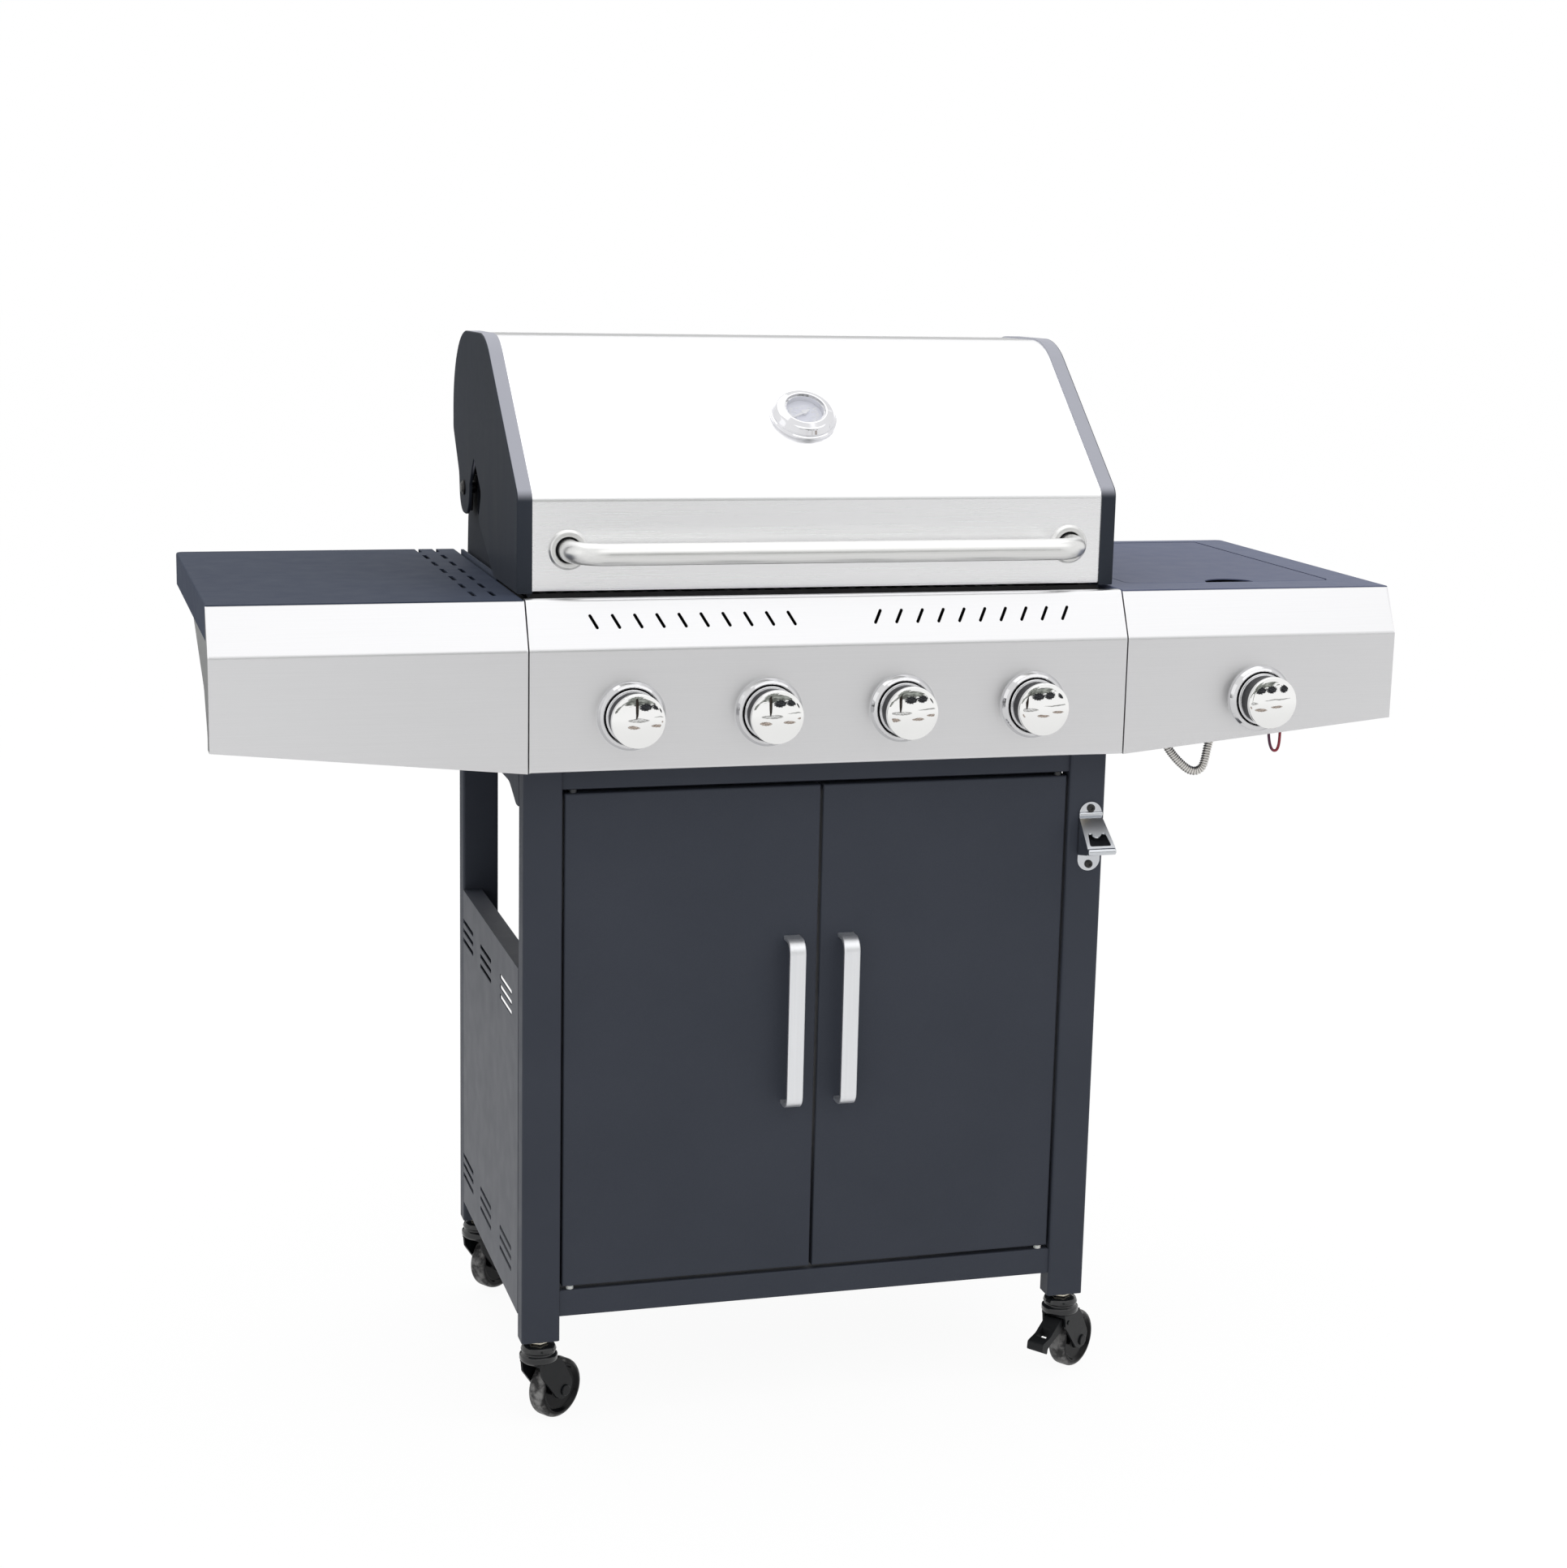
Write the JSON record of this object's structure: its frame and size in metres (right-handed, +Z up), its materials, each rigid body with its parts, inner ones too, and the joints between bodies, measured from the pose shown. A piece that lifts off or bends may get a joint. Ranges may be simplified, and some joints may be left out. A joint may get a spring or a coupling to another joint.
{
  "type": "gas barbecue grill",
  "caption": "Gas barbecue grill on a caster cart: hinged hood with tube handle and dial thermometer, knob panel, side shelf, covered side burner and a cabinet with double doors.",
  "frame": {"origin": "on the floor under the middle of the grill's overall box", "axes": "+X to the right of someone who stands in front of it, -Y towards them, +Z up"},
  "size_m": [1.232, 0.4868, 1.113],
  "materials": {
    "stainless": "brushed across, lightly polished",
    "dark_coat": "fine-textured dark grey powder coat",
    "lid_coat": "smooth dark grey coat",
    "shelf_coat": "smooth mid grey coat",
    "satin_aluminium": "satin",
    "chrome_trim": "polished",
    "knob_plastic": "metallised rim and cap with a dark grey skirt",
    "valve_brass": "machined",
    "hinge_nylon": "natural nylon collars",
    "hinge_steel": "plain steel",
    "firebox_paint": "heat-proof black",
    "grate_iron": "enamelled",
    "burner_aluminium": "cast",
    "tray_steel": "galvanised",
    "dial_face": "printed pale dial",
    "dial_glass": "clear",
    "needle_paint": "painted",
    "wire_rubber": "silicone sleeve",
    "caster_paint": "gloss black",
    "caster_plastic": "moulded, dusty tread",
    "pedal_plastic": "moulded"
  },
  "bodies": {
    "cart": {"legs": "dark_coat", "top_rails": "dark_coat", "right_side_panel": "dark_coat", "left_side_panel": "dark_coat", "base_shelf": "dark_coat", "door_hinge_pins": "hinge_nylon", "bottle_opener": "stainless", "control_panel": "stainless", "left_fascia": "stainless", "right_fascia": "stainless", "left_shelf": "shelf_coat", "right_shelf": "shelf_coat", "side_burner": "burner_aluminium", "side_burner_grate": "grate_iron", "knob_bezels": "chrome_trim", "gas_manifold": "valve_brass", "firebox": "firebox_paint", "cooking_grates": "grate_iron", "flame_tamers": "hinge_steel", "burner_tubes": "hinge_steel", "warming_rack": "chrome_trim", "flex_gas_pipe": "hinge_steel", "igniter_wire": "wire_rubber"},
    "lid": {"lid_skin": "stainless", "lid_right_cap": "lid_coat", "lid_left_cap": "lid_coat", "lid_hinge_pins": "hinge_steel", "lid_handle": "satin_aluminium", "lid_handle_rings": "satin_aluminium", "thermometer_case": "chrome_trim", "thermometer_dial": "dial_face", "thermometer_glass": "dial_glass"},
    "needle": {"thermometer_needle": "needle_paint"},
    "left_door": {"left_door": "dark_coat", "left_door_handle": "satin_aluminium"},
    "right_door": {"right_door": "dark_coat", "right_door_handle": "satin_aluminium"},
    "side_burner_lid": {"side_burner_lid": "shelf_coat"},
    "grease_tray": {"grease_tray": "tray_steel", "grease_cup": "burner_aluminium"},
    "valve_plug_1": {"valve_plug_1": "valve_brass"},
    "knob_1": {"knob_1": "knob_plastic"},
    "valve_plug_2": {"valve_plug_2": "valve_brass"},
    "knob_2": {"knob_2": "knob_plastic"},
    "valve_plug_3": {"valve_plug_3": "valve_brass"},
    "knob_3": {"knob_3": "knob_plastic"},
    "valve_plug_4": {"valve_plug_4": "valve_brass"},
    "knob_4": {"knob_4": "knob_plastic"},
    "valve_plug_side": {"valve_plug_side": "valve_brass"},
    "knob_side": {"knob_side": "knob_plastic"},
    "caster_fork_front_left": {"caster_fork_front_left": "caster_paint"},
    "caster_wheel_front_left": {"caster_wheel_front_left": "caster_plastic"},
    "caster_fork_front_right": {"caster_fork_front_right": "caster_paint"},
    "caster_wheel_front_right": {"caster_wheel_front_right": "caster_plastic"},
    "brake_pedal_front_right": {"brake_pedal_front_right": "pedal_plastic"},
    "caster_fork_rear_left": {"caster_fork_rear_left": "caster_paint"},
    "caster_wheel_rear_left": {"caster_wheel_rear_left": "caster_plastic"},
    "caster_fork_rear_right": {"caster_fork_rear_right": "caster_paint"},
    "caster_wheel_rear_right": {"caster_wheel_rear_right": "caster_plastic"},
    "brake_pedal_rear_right": {"brake_pedal_rear_right": "pedal_plastic"}
  },
  "joints": [
    {"name": "lid_hinge", "type": "hinge", "parent": "cart", "child": "lid", "pos_m": [0, 0.154, 0.944], "axis": [-1, 0, 0], "range_deg": [0, 85]},
    {"name": "needle_turn", "type": "hinge", "parent": "lid", "child": "needle", "pos_m": [0, -0.067, 1.03548], "axis": [0, 0.6225, -0.7826], "range_deg": [0, 240]},
    {"name": "left_door_hinge", "type": "hinge", "parent": "cart", "child": "left_door", "pos_m": [-0.2585, -0.1635, 0.411], "axis": [0, 0, -1], "range_deg": [0, 105]},
    {"name": "right_door_hinge", "type": "hinge", "parent": "cart", "child": "right_door", "pos_m": [0.2585, -0.1635, 0.411], "axis": [0, 0, 1], "range_deg": [0, 105]},
    {"name": "side_burner_lid_hinge", "type": "hinge", "parent": "cart", "child": "side_burner_lid", "pos_m": [0.45625, 0.205, 0.863], "axis": [-1, 0, 0], "range_deg": [0, 95]},
    {"name": "grease_tray_slide", "type": "slide", "parent": "cart", "child": "grease_tray", "axis": [0, 1, 0], "range_m": [0, 0.26]},
    {"name": "knob_1_turn", "type": "hinge", "parent": "cart", "child": "valve_plug_1", "pos_m": [-0.21, -0.209, 0.7557], "axis": [0, -1, 0], "range_deg": [0, 180]},
    {"name": "knob_1_push", "type": "slide", "parent": "valve_plug_1", "child": "knob_1", "axis": [0, 1, 0], "range_m": [0, 0.004], "stiffness_N_per_m": 2500, "springref_m": -0.003},
    {"name": "knob_2_turn", "type": "hinge", "parent": "cart", "child": "valve_plug_2", "pos_m": [-0.07, -0.209, 0.7557], "axis": [0, -1, 0], "range_deg": [0, 180]},
    {"name": "knob_2_push", "type": "slide", "parent": "valve_plug_2", "child": "knob_2", "axis": [0, 1, 0], "range_m": [0, 0.004], "stiffness_N_per_m": 2500, "springref_m": -0.003},
    {"name": "knob_3_turn", "type": "hinge", "parent": "cart", "child": "valve_plug_3", "pos_m": [0.07, -0.209, 0.7557], "axis": [0, -1, 0], "range_deg": [0, 180]},
    {"name": "knob_3_push", "type": "slide", "parent": "valve_plug_3", "child": "knob_3", "axis": [0, 1, 0], "range_m": [0, 0.004], "stiffness_N_per_m": 2500, "springref_m": -0.003},
    {"name": "knob_4_turn", "type": "hinge", "parent": "cart", "child": "valve_plug_4", "pos_m": [0.21, -0.209, 0.7557], "axis": [0, -1, 0], "range_deg": [0, 180]},
    {"name": "knob_4_push", "type": "slide", "parent": "valve_plug_4", "child": "knob_4", "axis": [0, 1, 0], "range_m": [0, 0.004], "stiffness_N_per_m": 2500, "springref_m": -0.003},
    {"name": "knob_side_turn", "type": "hinge", "parent": "cart", "child": "valve_plug_side", "pos_m": [0.463, -0.209, 0.7557], "axis": [0, -1, 0], "range_deg": [0, 180]},
    {"name": "knob_side_push", "type": "slide", "parent": "valve_plug_side", "child": "knob_side", "axis": [0, 1, 0], "range_m": [0, 0.004], "stiffness_N_per_m": 2500, "springref_m": -0.003},
    {"name": "caster_front_left_swivel", "type": "hinge", "parent": "cart", "child": "caster_fork_front_left", "pos_m": [-0.29, -0.1595, 0.08], "axis": [0, 0, 1], "continuous": true},
    {"name": "caster_front_left_roll", "type": "hinge", "parent": "caster_fork_front_left", "child": "caster_wheel_front_left", "pos_m": [-0.26977, -0.1448, 0.0315], "axis": [0.5878, -0.809, 0], "continuous": true},
    {"name": "caster_front_right_swivel", "type": "hinge", "parent": "cart", "child": "caster_fork_front_right", "pos_m": [0.29, -0.1595, 0.08], "axis": [0, 0, 1], "continuous": true},
    {"name": "caster_front_right_roll", "type": "hinge", "parent": "caster_fork_front_right", "child": "caster_wheel_front_right", "pos_m": [0.31022, -0.1448, 0.0315], "axis": [0.5878, -0.809, 0], "continuous": true},
    {"name": "brake_front_right_press", "type": "hinge", "parent": "caster_fork_front_right", "child": "brake_pedal_front_right", "pos_m": [0.28676, -0.16185, 0.0605], "axis": [0.5878, -0.809, 0], "range_deg": [0, 12]},
    {"name": "caster_rear_left_swivel", "type": "hinge", "parent": "cart", "child": "caster_fork_rear_left", "pos_m": [-0.29, 0.2035, 0.08], "axis": [0, 0, 1], "continuous": true},
    {"name": "caster_rear_left_roll", "type": "hinge", "parent": "caster_fork_rear_left", "child": "caster_wheel_rear_left", "pos_m": [-0.26977, 0.2182, 0.0315], "axis": [0.5878, -0.809, 0], "continuous": true},
    {"name": "caster_rear_right_swivel", "type": "hinge", "parent": "cart", "child": "caster_fork_rear_right", "pos_m": [0.29, 0.2035, 0.08], "axis": [0, 0, 1], "continuous": true},
    {"name": "caster_rear_right_roll", "type": "hinge", "parent": "caster_fork_rear_right", "child": "caster_wheel_rear_right", "pos_m": [0.31022, 0.2182, 0.0315], "axis": [0.5878, -0.809, 0], "continuous": true},
    {"name": "brake_rear_right_press", "type": "hinge", "parent": "caster_fork_rear_right", "child": "brake_pedal_rear_right", "pos_m": [0.28676, 0.20115, 0.0605], "axis": [0.5878, -0.809, 0], "range_deg": [0, 12]}
  ]
}
